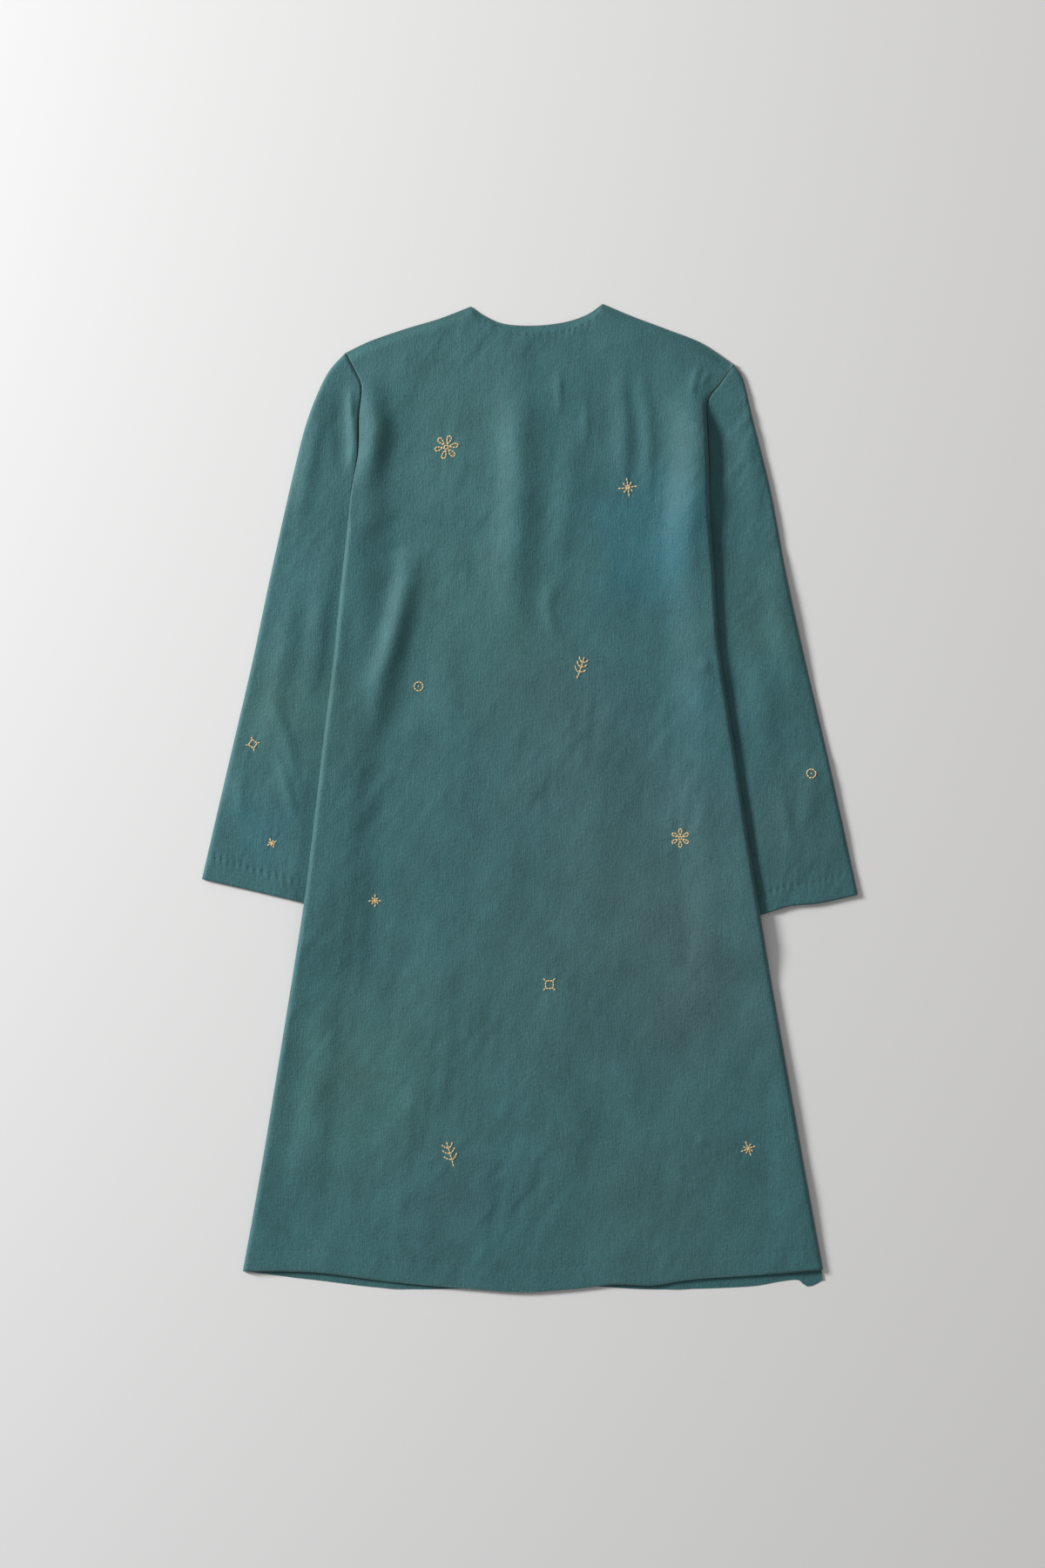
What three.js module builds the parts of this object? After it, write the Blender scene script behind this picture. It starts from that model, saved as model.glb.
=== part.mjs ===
// A long-sleeved kurta tunic, laid flat with its front down and its back up.
// Millimetres: +X towards the right sleeve, +Y towards the neck, +Z up from the table.
import * as THREE from "three";

// Cloth and stacking
const WALL = 1; // one layer of cloth, drawn thick enough to collide
const TURNING = 0.6; // extra thickness where an edge is turned in and stitched
const SEAM_GAP = 0.3; // between two pieces that are sewn together
const LAYER_GAP = 0.65; // between two pieces that lie on each other
const SLEEVE_INSIDE = 1; // height of the space inside a flattened sleeve
const SLEEVE_LIP = 0.12; // share of a sleeve's outer strip that its folded edge rounds over
const LOFT = 3; // how far the back stands off the front away from its edges
const POCKET_THICKNESS = 2; // a pocket bag is folded, so it is two layers

// Where the body lies on its own sleeves
const ON_SLEEVE = 5; // height of the body's side over a sleeve
const RAMP = 42; // width of the slope from the table up to that height
const RAMP_MARGIN = 16; // the slope ends this far before the sleeve's hidden edge
const UNDERARM_RISE = { from: 385, to: 325 }; // y over which the side comes up on to the sleeve
const CUFF_FALL = { from: -158, to: -215 }; // y over which it comes down past the cuff

// Grid steps of the cut pieces
const ARMHOLE_STEPS = 8;
const SIDE_STEPS = 20;
const SHOULDER_STEPS = 7;
const NECK_STEPS = 8;
const SLEEVE_STEPS = 16;

// Shares of a panel's height and width at which its edges change from one curve to the next
const ARMHOLE_SHARE = 0.19;
const NECK_FROM = 0.325;
const NECK_TO = 0.66;
const HEM_BAND = 0.025;
const NECK_BAND = 0.012;
const CUFF_BAND = 0.045;

const TEAL = 0x42686b;
const TEAL_INSIDE = 0x3a5c5f;

// The edges of the cut pieces
const SHOULDER_LEFT = [
  { x: -213, y: 510 },
  { x: -184, y: 524 },
  { x: -144, y: 538 },
  { x: -104, y: 550 },
  { x: -68, y: 564 },
];
const SHOULDER_RIGHT = [
  { x: 83, y: 567 },
  { x: 116, y: 553 },
  { x: 156, y: 538 },
  { x: 196, y: 522 },
  { x: 233, y: 497 },
];
const BACK_NECK = [
  { x: -68, y: 564 },
  { x: -54, y: 554 },
  { x: -30, y: 544 },
  { x: 5, y: 542 },
  { x: 40, y: 546 },
  { x: 66, y: 555 },
  { x: 83, y: 567 },
];
const FRONT_NECK = [
  { x: -68, y: 564 },
  { x: -46, y: 480 },
  { x: 7, y: 372 },
  { x: 60, y: 480 },
  { x: 83, y: 567 },
];
const ARMHOLE_LEFT = [
  { x: -213, y: 510 },
  { x: -203, y: 492 },
  { x: -194, y: 470 },
  { x: -197, y: 437 },
  { x: -198, y: 395 },
  { x: -205, y: 357 },
  { x: -209, y: 317 },
];
const ARMHOLE_RIGHT = [
  { x: 233, y: 497 },
  { x: 217, y: 475 },
  { x: 203, y: 455 },
  { x: 203, y: 425 },
  { x: 205, y: 376 },
  { x: 205, y: 346 },
  { x: 206, y: 317 },
];
const SIDE_LEFT = [
  { x: -209, y: 317 },
  { x: -218, y: 236 },
  { x: -226, y: 156 },
  { x: -236, y: 76 },
  { x: -250, y: -44 },
  { x: -260, y: -124 },
  { x: -276, y: -224 },
  { x: -307, y: -414 },
];
const SIDE_RIGHT = [
  { x: 206, y: 317 },
  { x: 211, y: 256 },
  { x: 216, y: 176 },
  { x: 228, y: 96 },
  { x: 246, y: -24 },
  { x: 262, y: -124 },
  { x: 279, y: -224 },
  { x: 311, y: -404 },
];
const BACK_HEM = [
  { x: -330, y: -543 },
  { x: -249, y: -544 },
  { x: -159, y: -555 },
  { x: -69, y: -563 },
  { x: -9, y: -567 },
  { x: 51, y: -563 },
  { x: 96, y: -558 },
  { x: 141, y: -559 },
  { x: 186, y: -552 },
  { x: 276, y: -546 },
  { x: 336, y: -541 },
];
const FRONT_HEM = [
  { x: -330, y: -543 },
  { x: -249, y: -553 },
  { x: -159, y: -563 },
  { x: -69, y: -563 },
  { x: 51, y: -560 },
  { x: 141, y: -564 },
  { x: 246, y: -561 },
  { x: 306, y: -556 },
  { x: 336, y: -553 },
];
const SLEEVE_OUTER_LEFT = [
  { x: -213, y: 510 },
  { x: -234, y: 485 },
  { x: -255, y: 436 },
  { x: -271, y: 376 },
  { x: -298, y: 256 },
  { x: -319, y: 156 },
  { x: -347, y: 36 },
  { x: -377, y: -93 },
];
const SLEEVE_OUTER_RIGHT = [
  { x: 233, y: 497 },
  { x: 244, y: 481 },
  { x: 255, y: 436 },
  { x: 275, y: 356 },
  { x: 294, y: 256 },
  { x: 316, y: 156 },
  { x: 344, y: 36 },
  { x: 376, y: -111 },
];
const SLEEVE_INNER_LEFT = [
  { x: -209, y: 317 },
  { x: -217, y: 150 },
  { x: -231, y: -128 },
];
const SLEEVE_INNER_RIGHT = [
  { x: 206, y: 317 },
  { x: 214, y: 150 },
  { x: 229, y: -142 },
];
const CUFF_LEFT = [
  { x: -377, y: -93 },
  { x: -273, y: -117 },
  { x: -231, y: -128 },
];
const CUFF_RIGHT = [
  { x: 376, y: -111 },
  { x: 331, y: -121 },
  { x: 299, y: -124 },
  { x: 265, y: -134 },
  { x: 229, y: -142 },
];

// Folds: a ridge (rise above 0) or a trough along a line, fading out over half its width and past its ends.
const BACK_FOLDS = [
  { x0: -34, y0: 500, x1: -19, y1: 176, half: 16, rise: 4 },
  { x0: 12, y0: 476, x1: 20, y1: 146, half: 20, rise: -2.6 },
  { x0: 18, y0: 251, x1: 36, y1: 176, half: 10, rise: 2 },
  { x0: 107, y0: 486, x1: 110, y1: 356, half: 10, rise: -1.4 },
  { x0: 130, y0: 480, x1: 134, y1: 350, half: 10, rise: 1.6 },
  { x0: -190, y0: 470, x1: -183, y1: 376, half: 10, rise: 4 },
  { x0: -172, y0: 494, x1: -156, y1: 369, half: 13, rise: -2.8 },
  { x0: -189, y0: 249, x1: -142, y1: 296, half: 12, rise: -2.6 },
  { x0: -142, y0: 296, x1: -66, y1: 276, half: 12, rise: -2.6 },
  { x0: -134, y0: 280, x1: -178, y1: 95, half: 13, rise: 5 },
  { x0: -108, y0: 251, x1: -152, y1: 132, half: 12, rise: -2.6 },
  { x0: 158, y0: 390, x1: 168, y1: 320, half: 24, rise: 3 },
  { x0: 186, y0: 324, x1: 184, y1: 243, half: 12, rise: -2.2 },
  { x0: 191, y0: 452, x1: 192, y1: 350, half: 11, rise: 6 },
  { x0: -232, y0: -190, x1: -290, y1: -500, half: 14, rise: 2.4 },
  { x0: 250, y0: -230, x1: 300, y1: -480, half: 16, rise: 1.8 },
  { x0: -60, y0: -330, x1: 30, y1: -500, half: 30, rise: 1.6 },
];
const SLEEVE_FOLDS = [
  { x0: -207, y0: 478, x1: -205, y1: 380, half: 8, rise: 3.4 },
  { x0: -262, y0: 330, x1: -280, y1: 190, half: 14, rise: 2 },
  { x0: -290, y0: 90, x1: -262, y1: -30, half: 12, rise: 2 },
  { x0: 262, y0: 300, x1: 285, y1: 150, half: 14, rise: 2.2 },
  { x0: 318, y0: 60, x1: 300, y1: -60, half: 14, rise: 2 },
];

// 0 before from, 1 past to, and a smooth step between; from may be the larger.
function ease(value, from, to) {
  return THREE.MathUtils.smoothstep((value - from) / (to - from), 0, 1);
}

// A curve through named points, sampled at equal steps: a function of the share along it, 0 to 1.
function edge(points, steps) {
  const curve = new THREE.SplineCurve(points.map((p) => new THREE.Vector2(p.x, p.y)));
  const samples = curve.getSpacedPoints(steps);
  return (share) => {
    const place = THREE.MathUtils.clamp(share, 0, 1) * steps;
    const first = Math.min(Math.floor(place), steps - 1);
    return samples[first].clone().lerp(samples[first + 1], place - first);
  };
}

// Edges that follow one another, each up to its own share of the whole.
function chain(...parts) {
  return (share) => {
    let start = 0;
    for (const part of parts.slice(0, -1)) {
      if (share <= part.until) return part.along((share - start) / (part.until - start));
      start = part.until;
    }
    return parts.at(-1).along((share - start) / (1 - start));
  };
}

// The flat shape inside four edges: u runs along top and bottom, v along left and right.
function patch({ top, bottom, left, right }) {
  const corner = { a: top(0), b: top(1), c: bottom(0), d: bottom(1) };
  return (u, v) => {
    const between = top(u).multiplyScalar(1 - v).addScaledVector(bottom(u), v);
    between.addScaledVector(left(v), 1 - u).addScaledVector(right(v), u);
    between.addScaledVector(corner.a, -(1 - u) * (1 - v)).addScaledVector(corner.b, -u * (1 - v));
    return between.addScaledVector(corner.c, -(1 - u) * v).addScaledVector(corner.d, -u * v);
  };
}

// Height that a table of folds adds at a point.
function folds(table, x, y) {
  let height = 0;
  for (const fold of table) {
    const alongX = fold.x1 - fold.x0;
    const alongY = fold.y1 - fold.y0;
    const length = Math.hypot(alongX, alongY);
    const share = ((x - fold.x0) * alongX + (y - fold.y0) * alongY) / length ** 2;
    const nearest = THREE.MathUtils.clamp(share, 0, 1);
    const aside = Math.hypot(x - fold.x0 - nearest * alongX, y - fold.y0 - nearest * alongY);
    height += fold.rise * Math.exp(-((aside / fold.half) ** 2));
  }
  return height;
}

// How far the body is lifted by the sleeve under it.
function lift(x, y) {
  const inner = x < 0 ? SLEEVE_INNER_LEFT : SLEEVE_INNER_RIGHT;
  const last = inner.at(-1);
  const share = (inner[0].y - y) / (inner[0].y - last.y);
  const hidden = Math.abs(inner[0].x + (last.x - inner[0].x) * THREE.MathUtils.clamp(share, 0, 1));
  const across = ease(Math.abs(x), hidden - RAMP_MARGIN - RAMP, hidden - RAMP_MARGIN);
  const down = ease(y, UNDERARM_RISE.from, UNDERARM_RISE.to) * ease(y, CUFF_FALL.to, CUFF_FALL.from);
  return ON_SLEEVE * across * down;
}

// Steps from one share to another, the first one left out.
function steps(from, to, count) {
  return Array.from({ length: count }, (_, i) => from + ((to - from) * (i + 1)) / count);
}

const COLUMNS = [
  0, 0.02, 0.05,
  ...steps(0.05, NECK_FROM, SHOULDER_STEPS),
  ...steps(NECK_FROM, NECK_TO, NECK_STEPS),
  ...steps(NECK_TO, 0.95, SHOULDER_STEPS),
  0.98, 1,
];
const ROWS = [
  0, NECK_BAND,
  ...steps(0, ARMHOLE_SHARE, ARMHOLE_STEPS),
  ...steps(ARMHOLE_SHARE, 1 - HEM_BAND, SIDE_STEPS),
  1,
];

// A mesh from points and the quads between them, each listed anticlockwise as seen from outside.
function solid(name, points, quads, color) {
  const geometry = new THREE.BufferGeometry();
  geometry.setAttribute("position", new THREE.Float32BufferAttribute(points.flat(), 3));
  geometry.setIndex(quads.flatMap(([a, b, c, d]) => [a, b, c, a, c, d]));
  geometry.computeVertexNormals();
  const material = new THREE.MeshStandardMaterial({ color, roughness: 0.62, metalness: 0 });
  const mesh = new THREE.Mesh(geometry, material);
  mesh.name = name;
  return mesh;
}

// A closed sheet over a flat shape: under gives the height of its lower face and thick its thickness.
function sheet(name, { plan, columns, rows, under, thick, color }) {
  const points = [];
  for (const v of rows) {
    for (const u of columns) {
      const { x, y } = plan(u, v);
      const low = under(x, y, u, v);
      points.push([x, y, low], [x, y, low + thick(u, v)]);
    }
  }
  const wide = columns.length;
  const low = (row, column) => 2 * (row * wide + column);
  const high = (row, column) => low(row, column) + 1;
  const quads = [];
  const lastRow = rows.length - 1;
  const lastColumn = wide - 1;
  for (let r = 0; r < lastRow; r += 1) {
    for (let c = 0; c < lastColumn; c += 1) {
      quads.push([high(r, c), high(r + 1, c), high(r + 1, c + 1), high(r, c + 1)]);
      quads.push([low(r, c + 1), low(r + 1, c + 1), low(r + 1, c), low(r, c)]);
    }
    quads.push([low(r, 0), low(r + 1, 0), high(r + 1, 0), high(r, 0)]);
    quads.push([high(r, lastColumn), high(r + 1, lastColumn), low(r + 1, lastColumn), low(r, lastColumn)]);
  }
  for (let c = 0; c < lastColumn; c += 1) {
    quads.push([low(0, c + 1), low(0, c), high(0, c), high(0, c + 1)]);
    quads.push([low(lastRow, c), low(lastRow, c + 1), high(lastRow, c + 1), high(lastRow, c)]);
  }
  return solid(name, points, quads, color);
}

// A flattened sleeve: u runs from the outer fold to the inner one, v from the armhole to the cuff.
function sleeve(name, { plan, columns, rows, side }) {
  const lip = SLEEVE_LIP * columns[1];
  const outer = [0, lip, ...columns.slice(1, -1), 1 - lip, 1];
  const inner = [lip, 2 * lip, ...columns.slice(1, -1), 1 - 2 * lip, 1 - lip];
  const last = outer.length - 1;
  const points = [];
  for (const v of rows) {
    const wall = WALL + TURNING * ease(v, 1 - CUFF_BAND - 0.004, 1 - CUFF_BAND);
    const height = 2 * wall + SLEEVE_INSIDE;
    for (const { shares, shell } of [{ shares: outer, shell: 0 }, { shares: inner, shell: wall }]) {
      const upper = shares.map((u, i) => {
        const { x, y } = plan(u, v);
        const free = Math.sin(Math.PI * u) ** 0.5;
        const crease = Math.max(0, folds(SLEEVE_FOLDS, x, y)) * free;
        return [x, y, i === 0 || i === last ? height / 2 : height - shell + crease];
      });
      const lower = upper.slice(1, -1).map(([x, y]) => [x, y, shell]);
      points.push(...upper, ...lower.reverse());
    }
  }
  const loop = 2 * last;
  const ring = (row, shell, place) => (2 * row + shell) * loop + (place % loop);
  const quads = [];
  const lastRow = rows.length - 1;
  for (let place = 0; place < loop; place += 1) {
    for (let r = 0; r < lastRow; r += 1) {
      quads.push([ring(r, 0, place), ring(r + 1, 0, place), ring(r + 1, 0, place + 1), ring(r, 0, place + 1)]);
      quads.push([ring(r, 1, place + 1), ring(r + 1, 1, place + 1), ring(r + 1, 1, place), ring(r, 1, place)]);
    }
    quads.push([ring(0, 0, place), ring(0, 0, place + 1), ring(0, 1, place + 1), ring(0, 1, place)]);
    quads.push([ring(lastRow, 1, place), ring(lastRow, 1, place + 1), ring(lastRow, 0, place + 1),
      ring(lastRow, 0, place)]);
  }
  const outward = side > 0 ? quads.map((quad) => quad.toReversed()) : quads;
  return solid(name, points, outward, TEAL);
}

// Both body panels share their sides down to the hem, so their grids lie over each other.
function panel(neck, hem) {
  const sideSteps = SIDE_STEPS + 1;
  return patch({
    top: chain(
      { until: NECK_FROM, along: edge(SHOULDER_LEFT, SHOULDER_STEPS) },
      { until: NECK_TO, along: edge(neck, NECK_STEPS) },
      { along: edge(SHOULDER_RIGHT, SHOULDER_STEPS) },
    ),
    bottom: edge(hem, COLUMNS.length - 1),
    left: chain(
      { until: ARMHOLE_SHARE, along: edge(ARMHOLE_LEFT, ARMHOLE_STEPS) },
      { along: edge([...SIDE_LEFT, hem[0]], sideSteps) },
    ),
    right: chain(
      { until: ARMHOLE_SHARE, along: edge(ARMHOLE_RIGHT, ARMHOLE_STEPS) },
      { along: edge([...SIDE_RIGHT, hem.at(-1)], sideSteps) },
    ),
  });
}

// A sleeve's flat shape, its armhole one seam gap away from the body's.
function sleevePlan({ armhole, outer, inner, cuff, side }) {
  const moved = (points) => points.map((p) => ({ x: p.x + side * SEAM_GAP, y: p.y }));
  return patch({
    top: edge(moved(armhole), ARMHOLE_STEPS),
    bottom: edge(moved(cuff), ARMHOLE_STEPS),
    left: edge(moved(outer), SLEEVE_STEPS),
    right: edge(moved(inner), SLEEVE_STEPS),
  });
}

// How far a point of a panel is from the sides, as 0 on them to 1 well inside.
function inside(u, v) {
  return ease(Math.min(u, 1 - u), 0, 0.05) * ease(v, 0, 0.02) * ease(v, 1, 1 - 2 * HEM_BAND);
}

function panelThickness(u, v) {
  const neck = u > NECK_FROM - 0.01 && u < NECK_TO + 0.01 ? 1 - ease(v, NECK_BAND, NECK_BAND * 1.5) : 0;
  const hem = ease(v, 1 - HEM_BAND - 0.004, 1 - HEM_BAND);
  return WALL + TURNING * Math.max(neck, hem);
}

// A pocket bag hangs from the side seam between the front and the back.
const POCKET_TOP = 0.36;
const POCKET_BOTTOM = 0.55;
const POCKET_WIDTH = 0.26;
const pocketRows = ROWS.filter((v) => v >= POCKET_TOP && v <= POCKET_BOTTOM);
const pocketColumns = {
  left: COLUMNS.filter((u) => u >= 0.02 && u <= POCKET_WIDTH),
  right: COLUMNS.filter((u) => u <= 0.98 && u >= 1 - POCKET_WIDTH),
};

function overPocket(u, v) {
  const across = ease(Math.min(u, 1 - u), POCKET_WIDTH + 0.09, POCKET_WIDTH);
  const down = ease(v, POCKET_TOP - 0.06, POCKET_TOP - 0.001) * ease(v, POCKET_BOTTOM + 0.06, POCKET_BOTTOM);
  return (POCKET_THICKNESS + LAYER_GAP) * across * down;
}

function frontTop(x, y, u, v) {
  return lift(x, y) + panelThickness(u, v);
}

function backUnder(x, y, u, v) {
  const rise = Math.max(0, LOFT + folds(BACK_FOLDS, x, y)) * inside(u, v);
  return frontTop(x, y, u, v) + LAYER_GAP + overPocket(u, v) + rise;
}

function pocket(name, columns) {
  return sheet(name, {
    plan: panel(BACK_NECK, BACK_HEM),
    columns,
    rows: pocketRows,
    under: (x, y, u, v) => frontTop(x, y, u, v) + LAYER_GAP,
    thick: () => POCKET_THICKNESS,
    color: TEAL_INSIDE,
  });
}

const tunic = new THREE.Group();
tunic.add(
  sheet("front", {
    plan: panel(FRONT_NECK, FRONT_HEM),
    columns: COLUMNS,
    rows: ROWS,
    under: lift,
    thick: panelThickness,
    color: TEAL,
  }),
  pocket("pocket_left", pocketColumns.left),
  pocket("pocket_right", pocketColumns.right),
  sheet("back", {
    plan: panel(BACK_NECK, BACK_HEM),
    columns: COLUMNS,
    rows: ROWS,
    under: backUnder,
    thick: panelThickness,
    color: TEAL,
  }),
);

const sleeves = [
  {
    name: "sleeve_left",
    side: -1,
    armhole: ARMHOLE_LEFT,
    outer: SLEEVE_OUTER_LEFT,
    inner: SLEEVE_INNER_LEFT,
    cuff: CUFF_LEFT,
  },
  {
    name: "sleeve_right",
    side: 1,
    armhole: ARMHOLE_RIGHT,
    outer: SLEEVE_OUTER_RIGHT,
    inner: SLEEVE_INNER_RIGHT,
    cuff: CUFF_RIGHT,
  },
];
for (const shape of sleeves) {
  tunic.add(
    sleeve(shape.name, {
      plan: sleevePlan(shape),
      columns: [0, ...steps(0, 1, ARMHOLE_STEPS)],
      rows: [0, ...steps(0, 1 - CUFF_BAND, SLEEVE_STEPS - 2), 1],
      side: shape.side,
    }),
  );
}

// The middle of the outline goes to the origin and the lowest face stays on the table.
const middle = new THREE.Box3().setFromObject(tunic).getCenter(new THREE.Vector3());
tunic.position.set(-middle.x, -middle.y, 0);

export default tunic;
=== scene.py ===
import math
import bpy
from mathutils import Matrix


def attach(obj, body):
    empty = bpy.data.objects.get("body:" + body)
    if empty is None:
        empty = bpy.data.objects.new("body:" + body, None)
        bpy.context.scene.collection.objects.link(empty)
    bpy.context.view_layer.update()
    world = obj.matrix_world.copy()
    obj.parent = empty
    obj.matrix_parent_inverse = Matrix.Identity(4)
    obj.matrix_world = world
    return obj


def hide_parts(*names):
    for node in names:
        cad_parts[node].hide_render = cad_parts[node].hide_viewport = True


bl_info = {
    "name": "Kurta Tunic",
    "version": (1, 0, 0),
    "blender": (4, 5, 0),
    "location": "3D View > Sidebar > Tunic",
    "description": "Makes a hand-dyed, long-sleeved kurta tunic laid flat with its back up",
    "category": "Add Mesh",
}

import bpy
import numpy as np
from mathutils import Vector
from mathutils.bvhtree import BVHTree

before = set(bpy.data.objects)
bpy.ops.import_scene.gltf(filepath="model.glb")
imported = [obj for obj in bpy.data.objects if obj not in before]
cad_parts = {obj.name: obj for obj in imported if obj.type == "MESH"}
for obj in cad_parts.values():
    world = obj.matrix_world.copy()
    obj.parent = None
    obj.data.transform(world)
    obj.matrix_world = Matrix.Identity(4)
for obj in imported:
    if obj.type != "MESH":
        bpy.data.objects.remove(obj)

MM = 0.001  # the tables below are in millimetres, and Blender works in metres

# ---------------------------------------------------------------- edges of the cut pieces, (x, y)

SHOULDER_LEFT = ((-213, 510), (-184, 524), (-144, 538), (-104, 550), (-68, 564))
SHOULDER_RIGHT = ((83, 567), (116, 553), (156, 538), (196, 522), (233, 497))
BACK_NECK = ((-68, 564), (-54, 554), (-30, 544), (5, 542), (40, 546), (66, 555), (83, 567))
FRONT_NECK = ((-68, 564), (-46, 480), (7, 372), (60, 480), (83, 567))
ARMHOLE_LEFT = ((-213, 510), (-203, 492), (-194, 470), (-197, 437), (-198, 395), (-205, 357), (-209, 317))
ARMHOLE_RIGHT = ((233, 497), (217, 475), (203, 455), (203, 425), (205, 376), (205, 346), (206, 317))
SIDE_LEFT = (
    (-209, 317), (-218, 236), (-226, 156), (-236, 76), (-250, -44), (-260, -124), (-276, -224),
    (-307, -414),
)
SIDE_RIGHT = (
    (206, 317), (211, 256), (216, 176), (228, 96), (246, -24), (262, -124), (279, -224), (311, -404),
)
BACK_HEM = (
    (-330, -543), (-249, -544), (-159, -555), (-69, -563), (-9, -567), (51, -563), (96, -558),
    (141, -559), (186, -552), (276, -546), (336, -541),
)
FRONT_HEM = (
    (-330, -543), (-249, -553), (-159, -563), (-69, -563), (51, -560), (141, -564), (246, -561),
    (286, -555), (308, -553), (315, -560), (324, -560), (336, -553),
)
OUTER_LEFT = (
    (-213, 510), (-234, 485), (-255, 436), (-271, 376), (-298, 256), (-319, 156), (-347, 36),
    (-377, -93),
)
OUTER_RIGHT = (
    (233, 497), (244, 481), (255, 436), (275, 356), (294, 256), (316, 156), (344, 36), (376, -111),
)
INNER_LEFT = ((-209, 317), (-217, 150), (-231, -128))
INNER_RIGHT = ((206, 317), (214, 150), (229, -142))
CUFF_LEFT = ((-377, -93), (-273, -117), (-231, -128))
CUFF_RIGHT = ((376, -111), (331, -121), (299, -124), (265, -134), (229, -142))

# Shares of a panel's width and height at which its edges change from one curve to the next
ARMHOLE_SHARE = 0.19
NECK_FROM = 0.325
NECK_TO = 0.66

# ---------------------------------------------------------------- how the layers lie

SEAM_HEIGHT = 1.6  # middle of a side seam off the table
FRONT_HEIGHT = 0.35  # the front, flat on the table
POCKET_CLEARANCE = 4.3  # the back never comes lower than this over the pocket bags
ON_SLEEVE = 5.0  # how far a sleeve under it lifts the body's side
RAMP = 42.0
RAMP_MARGIN = 16.0
UNDERARM_RISE = (385.0, 325.0)
CUFF_FALL = (-158.0, -215.0)
PANEL_HEIGHT = 1085.0
SLEEVE_LENGTH = 615.0
HEM_STITCH = 26.0  # from the hem's edge to its row of stitches
CUFF_STITCH = 27.0
NECK_STITCH = 13.0
STITCH_PITCH = 8.0
FOLD_FADE = 0.4  # share of a fold's length over which it dies away at each end
UNDERARM_Y = 317.0
SIDE_DROP = 868.0  # from the underarm down to the hem

# The cloth stands off its seams by its swell, is bent so that it stays above its least height, and
# rounds over within its edge
BODY_SWELL = 3.0
BODY_LEAST = 1.2
BODY_EDGE = 6.0
SEAM_EDGE = 1.5  # beside the left armhole seam
SEAM_SWELL = 3.4
ROLL_REACH = 38.0  # how far in a rolled side edge reaches
EDGE_REACH = 30.0
FRONT_EDGE = 5.0
SLEEVE_SWELL = 4.2
SLEEVE_LEAST = 1.6
SLEEVE_OUTER_EDGE = 5.0
SLEEVE_INNER_EDGE = 4.0
SLEEVE_UNDERSIDE = 0.2
SLEEVE_COVERED = 4.4  # highest that a sleeve is where the body lies on it
TURNED_EDGE = 2.0  # how far the turned edges of hem and cuffs round over
SOFTENING = 0.7

# Camera: its sensor in its own millimetres, the height of table in view in metres, and what it aims at
SENSOR = 36.0
VIEW_HEIGHT = 1.8
VIEW_MIDDLE = np.array((-9.0, 16.0))

# Mesh steps: distances from an edge at which columns stand close together, and usual widths
EDGE_STEPS = (0.0, 0.25, 0.7, 1.4, 2.3, 3.5, 5.0, 7.0)
BACK_WIDTH = 520.0
FRONT_WIDTH = 560.0
SLEEVE_WIDTH = 170.0
FRONT_COLUMNS = 110
FRONT_ROWS = 190
SLEEVE_TOP_COLUMNS = 92
SLEEVE_UNDER_COLUMNS = 22
SLEEVE_ROWS = 290

# Stitches: length, and how far apart along a pocket mouth
HEM_LENGTH = 3.6
CUFF_LENGTH = 3.2
POCKET_LENGTH = 2.2
POCKET_PITCH = 4.4
EMBROIDERY_LENGTH = 3.6
POCKET_LINES = (((-227, 12), (-195, 12), (-194, 81)), ((238, 1), (215, 4), (212, 48)))

# Height of the rounded side edges, by share of the panel's height: (share, left, right)
SIDE_ROLLS = (
    (0.00, 0.5, 0.5),
    (0.05, 0.5, 2.0),
    (0.09, 0.5, 10.0),
    (0.17, 0.6, 9.0),
    (0.20, 3.0, 7.0),
    (0.30, 4.0, 5.0),
    (0.60, 4.0, 4.5),
    (0.95, 3.4, 3.4),
    (1.00, 2.6, 2.6),
)

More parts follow.
